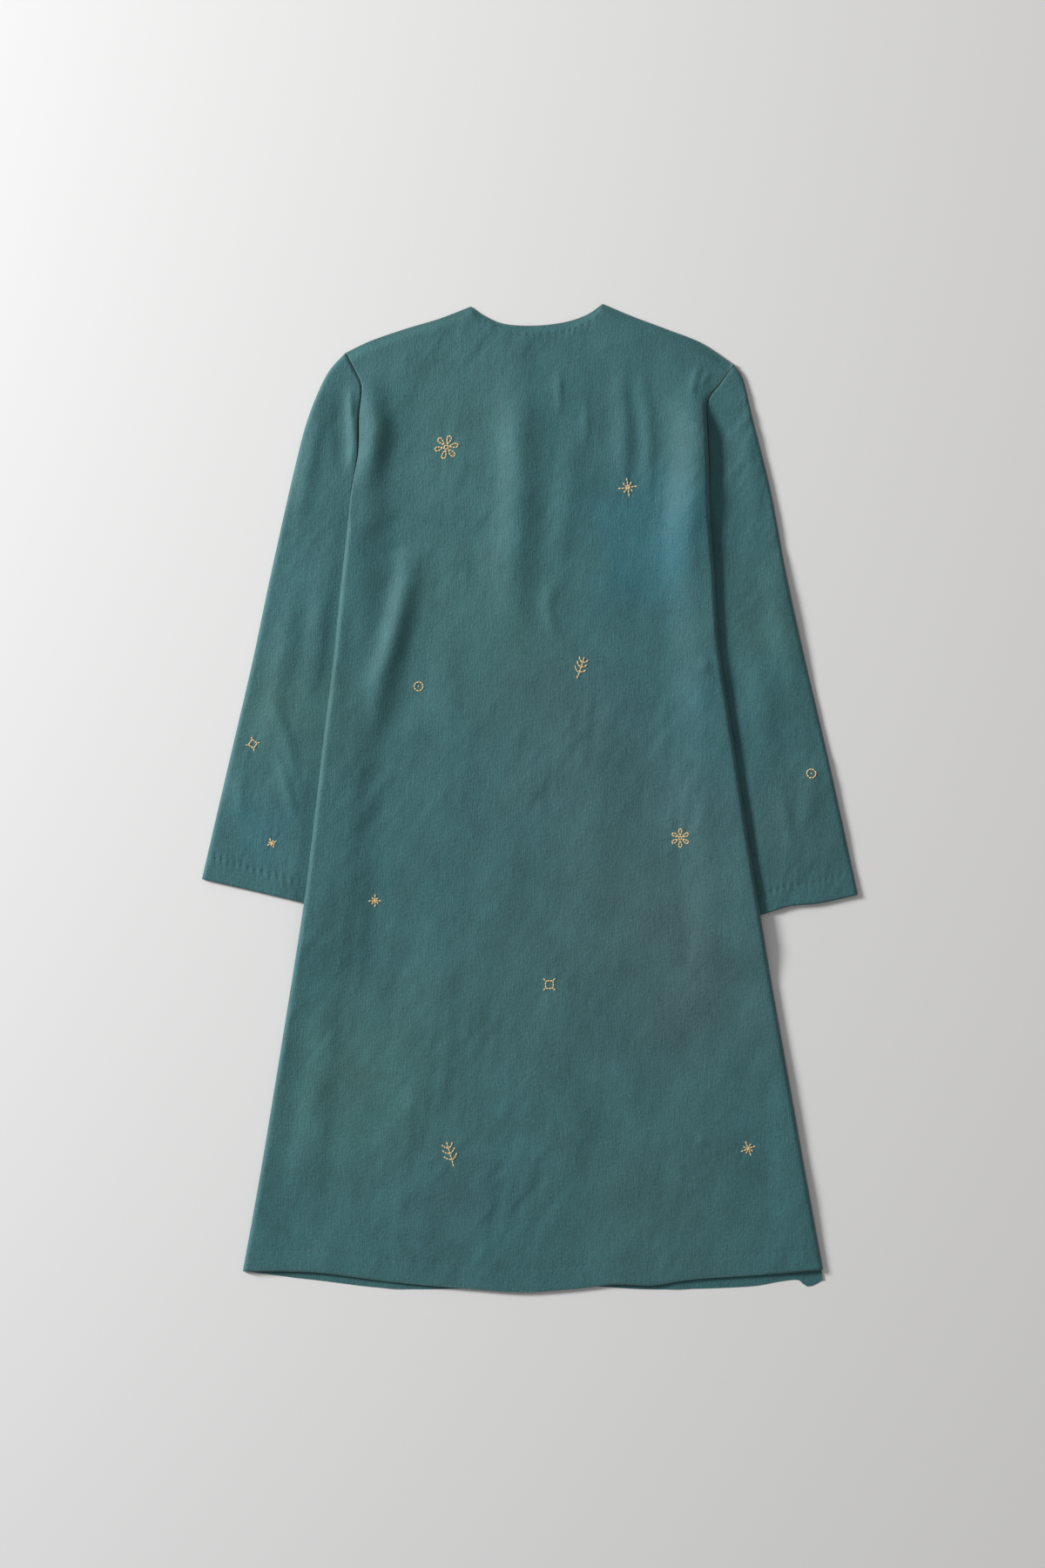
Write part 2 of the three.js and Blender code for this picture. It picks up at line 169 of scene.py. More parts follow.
# Folds are drawn from the neck downwards: points, half width, rise, and lean, which makes the side
# towards +X steeper when it is above 0. A rise below 0 is a trough.
BODY_FOLDS = (
    (((-186, 496), (-181, 470), (-180, 420), (-188, 330)), 17, 9.5, 0.05),
    (((-15, 560), (-13, 420), (-17, 300), (-21, 140)), 22, 7.5, -0.05),
    (((46, 470), (44, 360), (30, 250), (24, 170)), 18, 2.2, 0.0),
    (((34, 500), (33, 430)), 5, 1.1, 0.0),
    (((65, 470), (61, 380)), 5, 1.0, 0.0),
    (((108, 530), (106, 420), (110, 330)), 11, 2.8, 0.1),
    (((130, 520), (134, 400), (132, 320)), 9, 2.2, 0.0),
    (((196, 500), (188, 478), (178, 452)), 5, 1.8, 0.0),
    (((208, 492), (200, 480), (192, 468)), 4, 1.4, 0.0),
    (((186, 500), (189, 400), (184, 350), (172, 300), (168, 200)), 21, 6.5, 0.1),
    (((-190, 246), (-178, 285), (-146, 303), (-110, 300), (-72, 286), (-50, 250)), 14, -7.0, 0.0),
    (((-128, 310), (-140, 250), (-164, 160), (-184, 50)), 15, 9.0, 0.0),
    (((-196, 236), (-203, 150), (-206, 100)), 13, -2.4, 0.0),
    (((26, 255), (20, 215), (33, 176)), 8, 1.8, 0.0),
    (((203, 165), (200, 140)), 6, 1.6, 0.0),
    (((-88, 210), (-100, 130), (-120, 40)), 22, 1.8, 0.0),
    (((-150, 40), (-190, -20), (-236, -60)), 10, 1.2, 0.0),
    (((60, 120), (70, 20), (60, -110)), 40, 2.4, 0.0),
    (((150, 120), (176, 10), (190, -100)), 26, 2.2, 0.15),
    (((-250, -190), (-270, -330), (-300, -520)), 15, -2.0, 0.0),
    (((-226, -170), (-240, -320), (-262, -500)), 20, 2.2, 0.1),
    (((-110, -120), (-120, -300), (-110, -500)), 40, 1.6, 0.0),
    (((40, -180), (20, -330), (40, -520)), 44, 1.8, 0.0),
    (((200, -120), (226, -280), (246, -500)), 30, 2.2, 0.0),
    (((190, -390), (206, -399)), 5, 1.2, 0.0),
)
SLEEVE_FOLDS = (
    (((-203, 484), (-206, 440), (-204, 400), (-204, 368)), 6, 3.4, -0.3),
    (((-218, 478), (-219, 430), (-214, 360)), 8, -2.6, 0.0),
    (((-242, 470), (-246, 430), (-256, 370), (-268, 300)), 11, 3.0, 0.0),
    (((-262, 300), (-276, 200), (-294, 100), (-310, 0)), 13, 2.0, 0.0),
    (((-236, 280), (-246, 180), (-262, 80)), 12, 2.2, 0.1),
    (((-300, 120), (-276, 60), (-262, 0)), 8, 1.8, 0.0),
    (((-292, 70), (-280, 20), (-262, -40)), 7, 1.6, 0.0),
    (((-330, 40), (-336, -40)), 10, 1.4, 0.0),
    (((246, 470), (250, 400), (262, 320)), 11, 2.2, 0.0),
    (((214, 452), (216, 400), (216, 330)), 10, -2.0, 0.0),
    (((276, 300), (290, 200), (308, 90)), 15, 2.4, 0.0),
    (((250, 200), (268, 100), (286, 10)), 13, 1.8, 0.0),
    (((330, 60), (322, 0), (312, -60)), 10, 1.8, 0.0),
    (((286, 20), (300, -40), (306, -80)), 9, 1.4, 0.0),
)

# Where the dye took differently: (x, y, radius, blue, green, grey, deep)
DYE_PATCHES = (
    (136, 290, 66, 1.3, 0.0, 0.0, 0.0),
    (-20, 340, 120, 0.45, 0.2, 0.0, 0.0),
    (-90, 420, 90, 0.2, 0.45, 0.0, 0.0),
    (190, 120, 60, 0.6, 0.0, 0.0, 0.1),
    (-40, 200, 110, 0.1, 0.5, 0.0, 0.0),
    (50, 60, 110, 0.1, 0.0, 0.5, 0.1),
    (130, -120, 110, 0.0, 0.0, 0.5, 0.3),
    (200, -230, 90, 0.0, 0.0, 0.6, 0.2),
    (0, -230, 130, 0.0, 0.2, 0.3, 0.0),
    (-200, -330, 100, 0.0, 0.6, 0.0, 0.0),
    (-110, -470, 80, 0.1, 0.0, 0.3, 0.0),
    (150, -460, 110, 0.0, 0.3, 0.2, 0.1),
    (-260, 250, 60, 0.4, 0.2, 0.0, 0.0),
    (-280, 100, 60, 0.0, 0.6, 0.0, 0.0),
    (-300, -40, 60, 0.6, 0.0, 0.0, 0.1),
    (290, 200, 80, 0.0, 0.4, 0.1, 0.0),
    (310, -20, 60, 0.0, 0.1, 0.4, 0.1),
    (190, -10, 50, 0.4, 0.0, 0.1, 0.2),
)

# Scattered embroidery: (shape, x, y, size, turn in degrees)
EMBROIDERY = (
    ("daisy", -96, 402, 29, 12),
    ("star", 112, 356, 22, 8),
    ("sprig", 58, 150, 27, -20),
    ("ring", -128, 128, 12, 0),
    ("daisy", 172, -46, 24, 30),
    ("star", -178, -118, 15, 0),
    ("diamond", 22, -214, 20, 45),
    ("sprig", -92, -408, 31, 15),
    ("star", 250, -402, 18, 20),
    ("diamond", -318, 62, 17, 10),
    ("ring", 322, 28, 12, 0),
    ("star", -296, -52, 12, 25),
)


# ---------------------------------------------------------------- small shape maths

def ease(value, start, end):
    """0 before start, 1 past end and a smooth step between; start may be the larger."""
    share = np.clip((value - start) / (end - start), 0.0, 1.0)
    return share * share * (3.0 - 2.0 * share)


def rounded(distance, radius):
    """Height, from 0 to 1, of an edge that rounds over within radius of its outline."""
    share = np.clip(distance / radius, 0.0, 1.0)
    return np.sqrt(1.0 - (1.0 - share) ** 2)


def at_least(value, least):
    """The value, bent smoothly so that it never falls below least."""
    return np.logaddexp(0.0, (value - least) / SOFTENING) * SOFTENING + least


def run_along(places):
    """Length along a line of places, at each of them."""
    return np.concatenate([[0.0], np.cumsum(np.hypot(*np.diff(places, axis=0).T))])


def lattice_noise(across, along, seed):
    """Smooth random values from -1 to 1 on a lattice of unit squares."""
    table = np.random.default_rng(seed).uniform(-1.0, 1.0, (256, 256))
    column = np.floor(across).astype(int)
    row = np.floor(along).astype(int)
    part_u = ease(across - column, 0.0, 1.0)
    part_v = ease(along - row, 0.0, 1.0)
    this, after = column % 256, (column + 1) % 256
    rows = (row % 256, (row + 1) % 256)
    near, far = (table[r, this] * (1 - part_u) + table[r, after] * part_u for r in rows)
    return near * (1 - part_v) + far * part_v


def noise(x, y, size, seed, stretch=1.0, turn=0.0):
    """Random waves about size across, and stretch times as long at turn degrees from +Y."""
    angle = math.radians(turn)
    across = (x * math.cos(angle) + y * math.sin(angle)) / size
    along = (-x * math.sin(angle) + y * math.cos(angle)) / (size * stretch)
    coarse = lattice_noise(across, along, seed)
    fine = lattice_noise(across * 2.1, along * 2.1, seed + 1)
    return 0.7 * coarse + 0.3 * fine


def curve_through(points, count=160):
    """Equally spaced places along a smooth curve through the points."""
    anchors = np.array(points, float)
    padded = np.vstack([anchors[0], anchors, anchors[-1]])
    places = []
    for first in range(len(anchors) - 1):
        a, b, c, d = padded[first:first + 4]
        share = np.linspace(0.0, 1.0, 24)[:, None]
        bend = (2 * a - 5 * b + 4 * c - d) * share ** 2 + (3 * b - a - 3 * c + d) * share ** 3
        places.append(0.5 * (2 * b + (c - a) * share + bend))
    dense = np.vstack(places)
    length = run_along(dense)
    wanted = np.linspace(0.0, length[-1], count)
    return np.column_stack([np.interp(wanted, length, dense[:, axis]) for axis in (0, 1)])


class Edge:
    """One side of a cut piece: curves that follow one another, each up to its share of the whole."""

    def __init__(self, *parts):
        shares, places, start = [], [], 0.0
        for until, points in parts:
            curve = curve_through(points)
            shares.append(np.linspace(start, until, len(curve)))
            places.append(curve)
            start = until
        self.shares = np.concatenate(shares)
        self.places = np.vstack(places)

    def at(self, share):
        """The place, x and y, at a share of the whole edge."""
        x = np.interp(share, self.shares, self.places[:, 0])
        y = np.interp(share, self.shares, self.places[:, 1])
        return x, y


class Cut:
    """The flat shape of a cut piece: u runs along its top and bottom edges, v down its sides."""

    def __init__(self, top, bottom, left, right):
        self.top = top
        self.bottom = bottom
        self.left = left
        self.right = right

    def place(self, u, v):
        """The place, x and y, that blends the four edges at u and v."""
        result = []
        for axis in (0, 1):
            top, bottom = self.top.at(u)[axis], self.bottom.at(u)[axis]
            left, right = self.left.at(v)[axis], self.right.at(v)[axis]
            corners = [edge.at(end)[axis] for edge in (self.top, self.bottom) for end in (0.0, 1.0)]
            ends = (1 - v) * ((1 - u) * corners[0] + u * corners[1])
            ends = ends + v * ((1 - u) * corners[2] + u * corners[3])
            result.append((1 - v) * top + v * bottom + (1 - u) * left + u * right - ends)
        return result


def body_cut(neck, hem):
    """A body panel: shoulders and neck at the top, armholes and sides down to the hem."""
    return Cut(
        Edge((NECK_FROM, SHOULDER_LEFT), (NECK_TO, neck), (1.0, SHOULDER_RIGHT)),
        Edge((1.0, hem)),
        Edge((ARMHOLE_SHARE, ARMHOLE_LEFT), (1.0, SIDE_LEFT + hem[:1])),
        Edge((ARMHOLE_SHARE, ARMHOLE_RIGHT), (1.0, SIDE_RIGHT + hem[-1:])),
    )


BACK = body_cut(BACK_NECK, BACK_HEM)
FRONT = body_cut(FRONT_NECK, FRONT_HEM)
SLEEVES = {
    "sleeve_left": Cut(
        Edge((1.0, ARMHOLE_LEFT)), Edge((1.0, CUFF_LEFT)), Edge((1.0, OUTER_LEFT)), Edge((1.0, INNER_LEFT))
    ),
    "sleeve_right": Cut(
        Edge((1.0, ARMHOLE_RIGHT)), Edge((1.0, CUFF_RIGHT)), Edge((1.0, OUTER_RIGHT)),
        Edge((1.0, INNER_RIGHT))
    ),
}


def outline_middle():
    """Middle of the laid-out tunic in the tables, which the frame has at its origin."""
    outlines = [cut.left.places for cut in SLEEVES.values()]
    outlines += [BACK.top.places, BACK.bottom.places, FRONT.bottom.places]
    places = np.vstack(outlines)
    return (places.min(axis=0) + places.max(axis=0)) / 2


MIDDLE = outline_middle()


# ---------------------------------------------------------------- heights

def fold_height(folds, x, y):
    """Height that a table of folds adds at each place."""
    total = np.zeros_like(x)
    for points, half, rise, lean in folds:
        best = np.full_like(x, 1e9)
        side = np.zeros_like(x)
        run = np.zeros_like(x)
        whole = 0.0
        reach = half * (1 + abs(lean)) * 3.0
        low = np.min(points, axis=0) - reach
        high = np.max(points, axis=0) + reach
        if x.max() < low[0] or x.min() > high[0] or y.max() < low[1] or y.min() > high[1]:
            continue
        for (x0, y0), (x1, y1) in zip(points[:-1], points[1:]):
            dx, dy = x1 - x0, y1 - y0
            length = math.hypot(dx, dy)
            share = np.clip(((x - x0) * dx + (y - y0) * dy) / length ** 2, 0.0, 1.0)
            away = np.hypot(x - x0 - share * dx, y - y0 - share * dy)
            nearer = away < best
            best = np.where(nearer, away, best)
            side = np.where(nearer, dx * (y - y0) - dy * (x - x0), side)
            run = np.where(nearer, whole + share * length, run)
            whole += length
        spread = half * (1.0 - lean * np.tanh(side / (half * length)))
        fade = ease(run, 0.0, FOLD_FADE * whole) * ease(whole - run, 0.0, FOLD_FADE * whole)
        total += rise * fade * np.exp(-(best / spread) ** 2)
    return total


def wander(x, y, amount=4.0):
    """Places pushed about a little, so that folds don't run straight."""
    return x + amount * noise(x, y, 60.0, 11), y + amount * noise(x, y, 60.0, 13)


def wrinkles(x, y):
    """Small uneven creases in all the cloth, most of them slanting up to the right."""
    patchy = 0.35 + 0.65 * ease(noise(x, y, 90.0, 21), -0.2, 0.6)
    slanting = noise(x, y, 9.0, 31, 5.0, -38.0) * 0.6
    upright = noise(x, y, 11.0, 41, 7.0, -6.0) * 0.5
    broad = noise(x, y, 46.0, 51, 2.0, -15.0) * 1.3
    return (slanting + upright) * patchy + broad


def lift(x, y):
    """How far the body is raised by the sleeves under it."""
    raised = np.zeros_like(x)
    for inner, sign in ((INNER_LEFT, -1.0), (INNER_RIGHT, 1.0)):
        (x0, y0), (x1, y1) = inner[0], inner[-1]
        hidden = abs(x0 + (x1 - x0) * np.clip((y0 - y) / (y0 - y1), 0.0, 1.0))
        across = ease(sign * x, hidden - RAMP_MARGIN - RAMP, hidden - RAMP_MARGIN)
        raised = np.maximum(raised, across)
    return ON_SLEEVE * raised * ease(y, *UNDERARM_RISE) * ease(y, CUFF_FALL[1], CUFF_FALL[0])


def puckers(x, distance, seed):
    """Short ripples that a row of stitches pulls into the cloth on both sides of it."""
    along = np.zeros_like(x)
    wave = np.sin(2 * math.pi * (x / STITCH_PITCH + 0.6 * noise(x, along, 30.0, seed)))
    strength = 0.6 + 0.4 * noise(x, along, 45.0, seed + 3)
    dent = 0.35 * np.exp(-(distance / 1.8) ** 2)
    return 0.42 * strength * wave * np.exp(-(distance / 6.5) ** 2) - dent


def motif_pull(x, y):
    """Shallow dents and radiating ripples that embroidery pulls into the cloth."""
    total = np.zeros_like(x)
    for _, centre_x, centre_y, size, turn in EMBROIDERY:
        away = np.hypot(x - centre_x, y - centre_y)
        angle = np.arctan2(y - centre_y, x - centre_x)
        ripple = 0.35 * np.sin(7 * angle + turn) * ease(away, size * 0.2, size * 0.6)
        total += (ripple - 0.5) * np.exp(-(away / size) ** 2)
    return total


def body_top(u, v):
    """Places and heights of the back's upper face, in millimetres."""
    x, y = BACK.place(u, v)
    from_left = x - BACK.left.at(v)[0]
    from_right = BACK.right.at(v)[0] - x
    from_top = v * PANEL_HEIGHT
    from_hem = (1 - v) * PANEL_HEIGHT
    shares, left_rolls, right_rolls = np.array(SIDE_ROLLS).T
    left_roll = np.interp(v, shares, left_rolls)
    right_roll = np.interp(v, shares, right_rolls)
    wx, wy = wander(x, y)
    inner = ease(np.minimum(from_left, from_right), 0.0, EDGE_REACH)
    swell = BODY_SWELL + fold_height(BODY_FOLDS, wx, wy) + wrinkles(x, y) + motif_pull(x, y)
    swell += puckers(x, from_hem - HEM_STITCH, 61)
    neck = ease(u, NECK_FROM - 0.02, NECK_FROM + 0.02) * ease(u, NECK_TO + 0.02, NECK_TO - 0.02)
    swell += neck * puckers(x, from_top - NECK_STITCH, 67)
    height = at_least(swell, BODY_LEAST) * ease(v, 0.0, 0.012)
    left_side = left_roll * np.exp(-((from_left / ROLL_REACH) ** 2))
    right_side = right_roll * np.exp(-((from_right / ROLL_REACH) ** 2))
    armhole = ease(v, ARMHOLE_SHARE + 0.01, ARMHOLE_SHARE - 0.01)
    edge_left = rounded(from_left, SEAM_EDGE + (BODY_EDGE - SEAM_EDGE) * (1 - armhole))
    edge_right = rounded(from_right, BODY_EDGE)
    seam_left = armhole * SEAM_SWELL
    height = (height - seam_left * (1 - inner)) * edge_left * edge_right
    height += seam_left * (1 - inner) * ease(from_left, 0.0, SEAM_EDGE)
    height += left_side * edge_left + right_side * edge_right
    hem_edge = 0.5 + 0.5 * rounded(from_hem, TURNED_EDGE)
    z = SEAM_HEIGHT + lift(x, y) + height * hem_edge
    bags = ease(v, 0.3, 0.36) * inner
    floor = SEAM_HEIGHT + lift(x, y) + (POCKET_CLEARANCE - SEAM_HEIGHT) * bags
    return x, y, np.maximum(z, floor)


def front_top(u, v):
    """Places and heights of the front, which lies on the table and over the sleeves."""
    x, y = FRONT.place(u, v)
    from_side = np.minimum(x - FRONT.left.at(v)[0], FRONT.right.at(v)[0] - x)
    from_end = np.minimum(v * PANEL_HEIGHT, (1 - v) * PANEL_HEIGHT + 40.0)
    fall = rounded(from_side, FRONT_EDGE) * rounded(from_end, FRONT_EDGE)
    under = noise(x, y, 34.0, 71, 4.0, 20.0)
    creases = 0.9 * ease(under, 0.25, 0.8) * ease(from_side, 10.0, 50.0)
    return x, y, SEAM_HEIGHT + lift(x, y) - (SEAM_HEIGHT - FRONT_HEIGHT) * fall + creases


def sleeve_ring(name, around, v):
    """Places and heights of a sleeve: around runs 0 to 1 over its top and 1 to 2 back underneath."""
    cut = SLEEVES[name]
    sign = -1.0 if name == "sleeve_left" else 1.0
    top = around <= 1.0
    u = np.where(top, around, 2.0 - around)
    x, y = cut.place(u, v)
    outer_x, outer_y = cut.left.at(v)
    inner_x, inner_y = cut.right.at(v)
    width = np.hypot(outer_x - inner_x, outer_y - inner_y)
    from_outer = u * width
    from_inner = (1 - u) * width
    from_cuff = (1 - v) * SLEEVE_LENGTH
    wx, wy = wander(x, y)
    swell = SLEEVE_SWELL + fold_height(SLEEVE_FOLDS, wx, wy) + wrinkles(x, y) + motif_pull(x, y)
    swell += puckers(x, from_cuff - CUFF_STITCH, 83)
    over = at_least(swell, SLEEVE_LEAST)
    shape = rounded(from_outer, SLEEVE_OUTER_EDGE) * rounded(from_inner, SLEEVE_INNER_EDGE)
    cuff_edge = 0.6 + 0.4 * rounded(from_cuff, TURNED_EDGE)
    seam = 1.0 - 0.35 * np.exp(-((v * SLEEVE_LENGTH / 1.6) ** 2))
    body_edge = BACK.left if sign < 0 else BACK.right
    down_side = (UNDERARM_Y - y) / SIDE_DROP * (1 - ARMHOLE_SHARE)
    side_x = body_edge.at(np.clip(ARMHOLE_SHARE + down_side, 0.0, 1.0))[0]
    beyond = sign * (x - side_x)
    covered = ease(y, 340.0, 300.0) * ease(beyond, 16.0, 0.0)
    z_top = SEAM_HEIGHT + over * shape * cuff_edge * seam
    z_top = z_top * (1 - covered) + np.minimum(z_top, SLEEVE_COVERED) * covered
    from_fold = np.minimum(from_outer, from_inner)
    z_low = SEAM_HEIGHT - (SEAM_HEIGHT - SLEEVE_UNDERSIDE) * rounded(from_fold, SLEEVE_INNER_EDGE)
    return x, y, np.where(top, z_top, z_low)


# ---------------------------------------------------------------- meshes

def crowded(count, width, edge_steps):
    """Shares from 0 to 1 that crowd towards both ends, where edges round over."""
    near = np.array(edge_steps, float) / width
    middle = np.linspace(near[-1], 1 - near[-1], count)
    return np.concatenate([near[:-1], middle, 1 - near[:-1][::-1]])


def link_mesh(name, verts, faces):
    """A smooth-shaded object with a mesh of the places and faces given."""
    mesh = bpy.data.meshes.new(name)
    mesh.from_pydata(verts.tolist(), [], faces)
    mesh.polygons.foreach_set("use_smooth", np.ones(len(faces), bool))
    mesh.update()
    piece = bpy.data.objects.new(name, mesh)
    bpy.context.collection.objects.link(piece)
    return piece


def grid_mesh(name, x, y, z, dye, wrap=False):
    """A mesh from rows of places; wrap joins the last column to the first."""
    rows, columns = x.shape
    verts = np.column_stack([(x - MIDDLE[0]).ravel(), (y - MIDDLE[1]).ravel(), z.ravel()]) * MM
    index = np.arange(rows * columns).reshape(rows, columns)
    after = np.roll(index, -1, axis=1) if wrap else index[:, 1:]
    before = index if wrap else index[:, :-1]
    quads = np.stack([before[:-1], before[1:], after[1:], after[:-1]], axis=-1).reshape(-1, 4)
    piece = link_mesh(name, verts, quads.tolist())
    colours = piece.data.color_attributes.new("dye", "FLOAT_COLOR", "POINT")
    colours.data.foreach_set("color", dye.reshape(-1).astype(np.float32))
    return piece


def dye_at(x, y, from_edge):
    """How the dye took at each place: blue, green, grey and deep amounts, one per colour channel."""
    wx = x + 26 * noise(x, y, 70.0, 91)
    wy = y + 26 * noise(x, y, 70.0, 93)
    amounts = np.zeros(x.shape + (4,))
    for centre_x, centre_y, radius, *parts in DYE_PATCHES:
        strength = np.exp(-(((wx - centre_x) ** 2 + (wy - centre_y) ** 2) / radius ** 2))
        amounts += strength[..., None] * np.array(parts)
    cloudy = noise(x, y, 38.0, 95) + 0.5 * noise(x, y, 15.0, 97)
    amounts[..., 0] += 0.10 * np.maximum(cloudy, 0)
    amounts[..., 1] += 0.12 * np.maximum(-cloudy, 0)
    amounts[..., 2] += 0.10 * np.maximum(noise(x, y, 50.0, 99), 0)
    amounts[..., 3] = np.clip(amounts[..., 3], 0, 1) * 0.5 + 0.5 * np.exp(-((from_edge / 1.6) ** 2))
    return np.clip(amounts, 0.0, 1.0)


class Placer:
    """Finds a piece's upper face under any place, in millimetres."""

    def __init__(self, piece):
        mesh = piece.data
        places = np.empty(len(mesh.vertices) * 3)
        mesh.vertices.foreach_get("co", places)
        faces = [tuple(polygon.vertices) for polygon in mesh.polygons]
        self.tree = BVHTree.FromPolygons([Vector(p) for p in places.reshape(-1, 3)], faces)

    def height(self, x, y):
        """Height of the upper face at a place, or None where the piece isn't."""
        start = Vector(((x - MIDDLE[0]) * MM, (y - MIDDLE[1]) * MM, 0.1))
        hit = self.tree.ray_cast(start, Vector((0.0, 0.0, -1.0)))
        return None if hit[0] is None else hit[0].z / MM


def thread_mesh(name, paths, radius, flatness=0.7):
    """Short lengths of thread, each a six-sided tube with pinched ends, joined into one mesh."""
    sides = 6
    angles = np.linspace(0.0, 2 * math.pi, sides, endpoint=False)
    verts, faces, base = [], [], 0
    for path in paths:
        places = np.array(path, float)
        tangent = np.gradient(places, axis=0)
        tangent /= np.linalg.norm(tangent, axis=1, keepdims=True) + 1e-9
        aside = np.column_stack([-tangent[:, 1], tangent[:, 0], np.zeros(len(places))])
        aside /= np.linalg.norm(aside, axis=1, keepdims=True) + 1e-9
        pinch = np.sin(np.linspace(0.15, math.pi - 0.15, len(places))) ** 0.5 * radius
        for place, across, width in zip(places, aside, pinch):
            for angle in angles:
                rise = np.array([0.0, 0.0, math.sin(angle) * width * flatness])
                verts.append(place + across * math.cos(angle) * width + rise)
        for ring in range(len(places) - 1):
            for side in range(sides):
                a = base + ring * sides + side
                b = base + ring * sides + (side + 1) % sides
                faces.append((a, b, b + sides, a + sides))
        faces.append(tuple(base + side for side in reversed(range(sides))))
        last = base + (len(places) - 1) * sides
        faces.append(tuple(last + side for side in range(sides)))
        base += len(places) * sides
    places = (np.array(verts) - np.array([MIDDLE[0], MIDDLE[1], 0.0])) * MM
    return link_mesh(name, places, faces)


def stitch_on(placer, start, end, proud, dip=0.5, count=5):
    """One stitch from start to end: it comes up out of the cloth and goes back down into it."""
    path = []
    for share in np.linspace(0.0, 1.0, count):
        x = start[0] + (end[0] - start[0]) * share
        y = start[1] + (end[1] - start[1]) * share
        height = placer.height(x, y)
        if height is None:
            return None
        out = math.sin(math.pi * share)
        path.append((x, y, height + proud * out - dip * (1 - out)))
    return path


def running_stitches(placer, places, length, pitch, rng, proud=0.25):
    """Stitches one after another along a line of places, a little uneven, as by hand."""
    places = np.array(places, float)
    run = run_along(places)
    at = pitch * 0.5
    stitches = []
    while at + length < run[-1]:
        long = length * rng.uniform(0.8, 1.15)
        ends = []
        for distance in (at, at + long):
            x = np.interp(distance, run, places[:, 0]) + rng.normal(0.0, 0.12)
            y = np.interp(distance, run, places[:, 1]) + rng.normal(0.0, 0.2)
            ends.append((x, y))
        stitch = stitch_on(placer, *ends, proud)
        if stitch:
            stitches.append(stitch)
        at += pitch * rng.uniform(0.88, 1.12)
    return stitches


# ---------------------------------------------------------------- embroidery shapes, drawn in a unit circle

def circle(radius, count):
    """Places round a circle, the first and last of them the same."""
    angles = np.radians(np.linspace(0, 360, count))
    return [(radius * math.cos(a), radius * math.sin(a)) for a in angles]


def daisy():
    """Six looped petals round a small ring."""
    lines = [circle(0.2, 9)]
    for turn in range(0, 360, 60):
        angle = math.radians(turn)
        spread = math.radians(17)
        tip = [(math.cos(angle + s * spread) * r, math.sin(angle + s * spread) * r)
               for s, r in ((0, 0.26), (-1, 0.62), (-0.5, 0.92), (0.5, 0.92), (1, 0.62), (0, 0.26))]
        lines.append(tip)
    return lines


def star():
    """Four strokes that cross."""
    lines = []
    for turn in range(0, 180, 45):
        reach = 1.0 if turn % 90 == 0 else 0.7
        x, y = math.cos(math.radians(turn)) * reach, math.sin(math.radians(turn)) * reach
        lines.append([(x, y), (-x, -y)])
    return lines


def sprig():
    """A stem with three pairs of leaves and one at the tip."""
    lines = [[(0, -1), (0.04, -0.4), (0, 0.2), (0, 0.9)]]
    for height in (-0.45, 0.0, 0.42):
        for side in (-1, 1):
            reach = 0.46 - 0.12 * height
            leaf = [(0.02, height), (side * reach * 0.6, height + 0.12), (side * reach, height + 0.38)]
            lines.append(leaf)
    return lines


def ring():
    """A ring with a smaller one inside it."""
    return [circle(0.9, 11), circle(0.18, 6)]


def diamond():
    """A lozenge with a stitch off each corner."""
    corners = [(0.62, 0), (0, 0.62), (-0.62, 0), (0, -0.62), (0.62, 0)]
    ticks = [[(x, y), (x * 1.6, y * 1.6)] for x, y in corners[:4]]
    return [corners] + ticks


SHAPES = {"daisy": daisy, "star": star, "sprig": sprig, "ring": ring, "diamond": diamond}


# ---------------------------------------------------------------- materials

class Socket:
    """A value in a material: arithmetic on it adds the nodes that work it out."""

    def __init__(self, tree, link):
        self.tree = tree
        self.link = link

    def maths(self, operation, *values):
        """A Math node on the values."""
        return self.tree.add("ShaderNodeMath", {"operation": operation}, dict(enumerate(values)))

    def __add__(self, other):
        return self.maths("ADD", self, other)

    def __radd__(self, other):
        return self.maths("ADD", other, self)

    def __sub__(self, other):
        return self.maths("SUBTRACT", self, other)

    def __rsub__(self, other):
        return self.maths("SUBTRACT", other, self)

    def __mul__(self, other):
        return self.maths("MULTIPLY", self, other)

    def __rmul__(self, other):
        return self.maths("MULTIPLY", other, self)

    def between(self, low, high):
        """0 at low, 1 at high, and held there outside them."""
        return self.tree.add("ShaderNodeMapRange", {"clamp": True}, {"Value": self, 1: low, 2: high})


